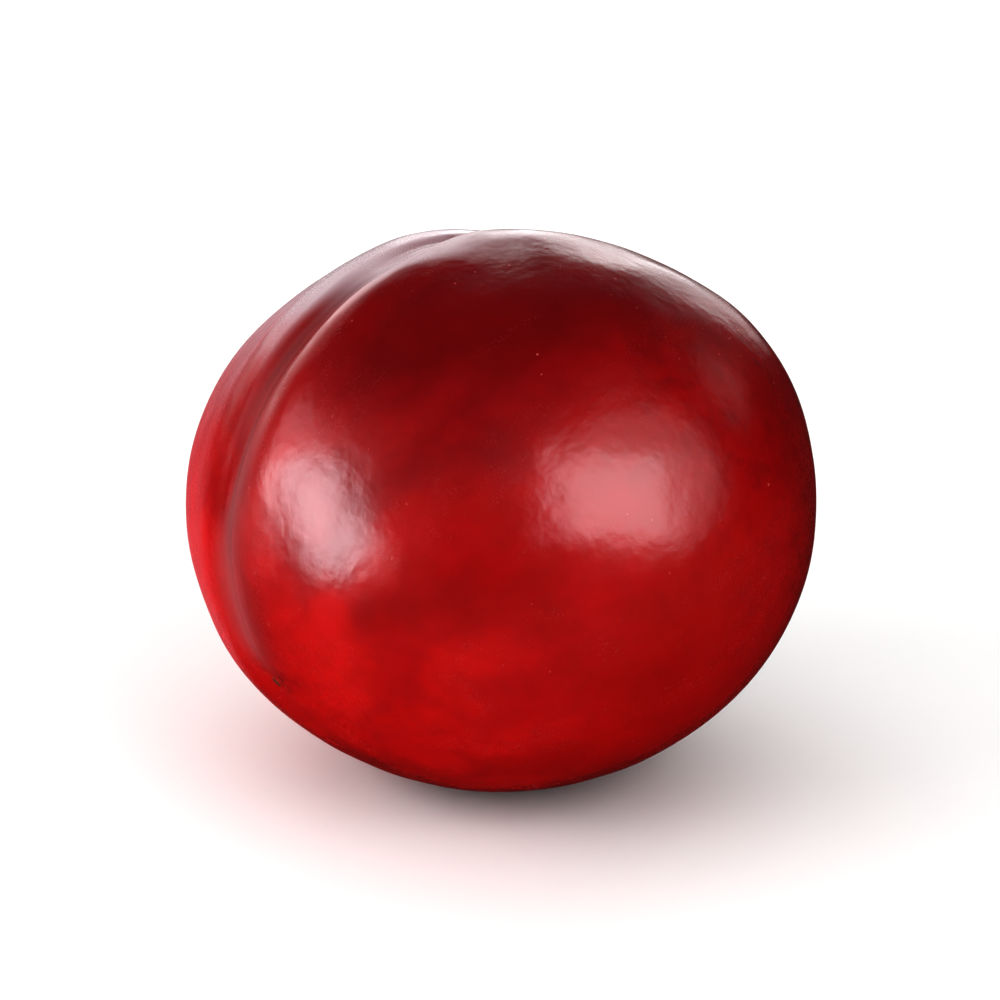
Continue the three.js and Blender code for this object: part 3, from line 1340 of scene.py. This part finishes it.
@dataclass(frozen=True)
class Studio:
    """A plain pale floor, soft lights and a pale surround, with lengths in metres."""

    floor_reach: float = 0.62
    floor_corners: int = 96
    floor_drop: float = 0.00005
    floor_roughness: float = 0.85
    floor_colour: Colour = (0.80, 0.795, 0.79, 1.0)
    surround: Colour = (0.80, 0.80, 0.80, 1.0)
    fill: float = 0.15
    mirrored_fill: float = 0.02
    softboxes: tuple[Softbox, ...] = (
        Softbox("left softbox", Reach.GLOSS, -71.0, 8.0, 0.60, 0.245, 0.40, 8.3, 45.0, colour=COOL),
        Softbox(
            "left softbox, rim", Reach.GLOSS, -71.0, 9.0, 0.60, 0.37, 0.44, 2.0, 45.0, colour=COOL
        ),
        Softbox(
            "left softbox, top corner",
            Reach.GLOSS, -94.0, 25.0, 0.60, 0.09, 0.17, 3.2, 10.0, colour=COOL,
        ),
        Softbox("left softbox, wing", Reach.GLOSS, -47.0, 3.0, 0.60, 0.12, 0.20, 1.2, colour=COOL),
        Softbox(
            "right softbox", Reach.GLOSS, 40.5, 28.0, 0.60, 0.52, 0.39, 4.85, -18.0, colour=COOL
        ),
        Softbox(
            "right softbox, rim", Reach.GLOSS, 56.0, 31.0, 0.60, 0.76, 0.70, 1.5, 0.0, Outline.ROUND
        ),
        Softbox("back left panel", Reach.GLOSS, -148.0, 20.0, 1.00, 0.89, 0.75, 0.5),
        Softbox("back panel", Reach.GLOSS, -178.0, 21.0, 1.00, 0.25, 0.77, 1.5),
        Softbox("back panel, near wing", Reach.GLOSS, 172.0, 12.0, 1.00, 0.23, 0.45, 2.0),
        Softbox("back panel, far wing", Reach.GLOSS, 160.0, 10.5, 1.00, 0.29, 0.42, 1.5),
        Softbox("back right panel", Reach.GLOSS, 125.0, 25.0, 1.00, 0.34, 0.30, 0.5),
        Softbox(
            "red card", Reach.GLOSS, -150.0, -21.0, 0.50, 0.36, 0.24, 0.50, colour=(1.0, 0.31, 0.36)
        ),
        Softbox("left key", Reach.MATT, -70.0, 24.0, 0.70, 0.60, 0.50, 2.75),
        Softbox("right key", Reach.MATT, 50.0, 28.0, 0.70, 0.60, 0.50, 1.8),
        Softbox("rim light", Reach.MATT, -125.0, 5.0, 0.70, 0.50, 0.50, 3.0),
        Softbox("top panel", Reach.MATT, 0.0, 90.0, 1.50, 2.80, 2.80, 0.76),
        Softbox("front panel", Reach.MATT, 0.0, 35.0, 1.20, 1.60, 1.00, 0.5),
        Softbox("rear panel", Reach.MATT, 180.0, 35.0, 1.20, 1.60, 1.00, 0.5),
    )

    def build(self, aim: Vector) -> None:
        """Floor, lights and surround.

        Args:
            aim: The middle of the fruit.
        """
        self.floor()
        for softbox in self.softboxes:
            softbox.place(aim)
            log.info("%s: %.2f W at heading %.0f", softbox.name, softbox.power(), softbox.heading)
        self.surround_light()

    def floor(self) -> None:
        """A round floor just under the fruit."""
        turn = np.linspace(0.0, 2.0 * math.pi, self.floor_corners, endpoint=False)
        ring = np.stack([np.cos(turn), np.sin(turn), np.zeros_like(turn)], axis=-1)
        corners = np.concatenate([np.zeros((1, 3)), ring * self.floor_reach])
        corners[:, 2] = -self.floor_drop
        here = np.arange(self.floor_corners)
        beside = (here + 1) % self.floor_corners
        slices = np.stack([np.zeros_like(here), 1 + here, 1 + beside], axis=-1)
        mesh = mesh_from_arrays("studio_floor", corners, np.zeros((0, 4), int), slices)
        floor = bpy.data.objects.new("studio_floor", mesh)
        bpy.context.scene.collection.objects.link(floor)
        made = bpy.data.materials.new("floor paint")
        made.use_nodes = True
        paint = made.node_tree.nodes["Principled BSDF"]
        paint.inputs["Base Color"].default_value = self.floor_colour
        paint.inputs["Roughness"].default_value = self.floor_roughness
        mesh.materials.append(made)
        floor.visible_glossy = False
        floor.visible_shadow = False

    def surround_light(self) -> None:
        """A pale surround that lights matt surfaces and is dim in reflections."""
        world = bpy.data.worlds.new("surround")
        bpy.context.scene.world = world
        world.use_nodes = True
        world.cycles.sampling_method = "NONE"
        world.node_tree.nodes.clear()
        nodes = Nodes(world.node_tree)
        path = nodes.add("ShaderNodeLightPath")
        seen, lit, mirrored = (
            nodes.add("ShaderNodeBackground", {0: self.surround, 1: strength}).outputs[0]
            for strength in (1.0, self.fill, self.mirrored_fill)
        )
        is_glossy, is_camera = path.outputs["Is Glossy Ray"], path.outputs["Is Camera Ray"]
        unseen = nodes.add("ShaderNodeMixShader", {0: is_glossy, 1: lit, 2: mirrored})
        whole = nodes.add("ShaderNodeMixShader", {0: is_camera, 1: unseen.outputs[0], 2: seen})
        nodes.add("ShaderNodeOutputWorld", {"Surface": whole.outputs[0]})


@dataclass(frozen=True)
class Viewpoint:
    """The camera: a long lens that looks a little down on the fruit from its front.

    The elevation is degrees, the distance and the width of the picture at the fruit are metres,
    and the sensor is millimetres wide.
    """

    elevation: float = 22.5
    distance: float = 0.75
    framed_width: float = 0.108
    sensor: float = 36.0

    def place(self, aim: Vector) -> None:
        """Makes the camera and aims it.

        Args:
            aim: The middle of the fruit.
        """
        data = bpy.data.cameras.new("camera")
        data.sensor_width = self.sensor
        data.lens = self.sensor * self.distance / self.framed_width
        camera = bpy.data.objects.new("camera", data)
        rise = math.radians(self.elevation)
        back = Vector((0.0, -math.cos(rise), math.sin(rise)))
        camera.location = aim + back * self.distance
        camera.rotation_mode = "QUATERNION"
        camera.rotation_quaternion = (-back).to_track_quat("-Z", "Y")
        bpy.context.scene.collection.objects.link(camera)
        bpy.context.scene.camera = camera


def main() -> None:
    """Builds the camera, the fruit and the studio."""
    logging.basicConfig(level=logging.INFO, format="%(name)s: %(message)s")
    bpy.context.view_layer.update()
    low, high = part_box(NODE)
    middle = (low + high) / 2
    view = bpy.context.scene.view_settings
    view.view_transform = "Standard"
    view.look = "High Contrast"
    Viewpoint().place(middle)
    plum = Plum()
    plum.dress(plum.build())
    Studio().build(middle)


if __name__ == "__main__":
    main()
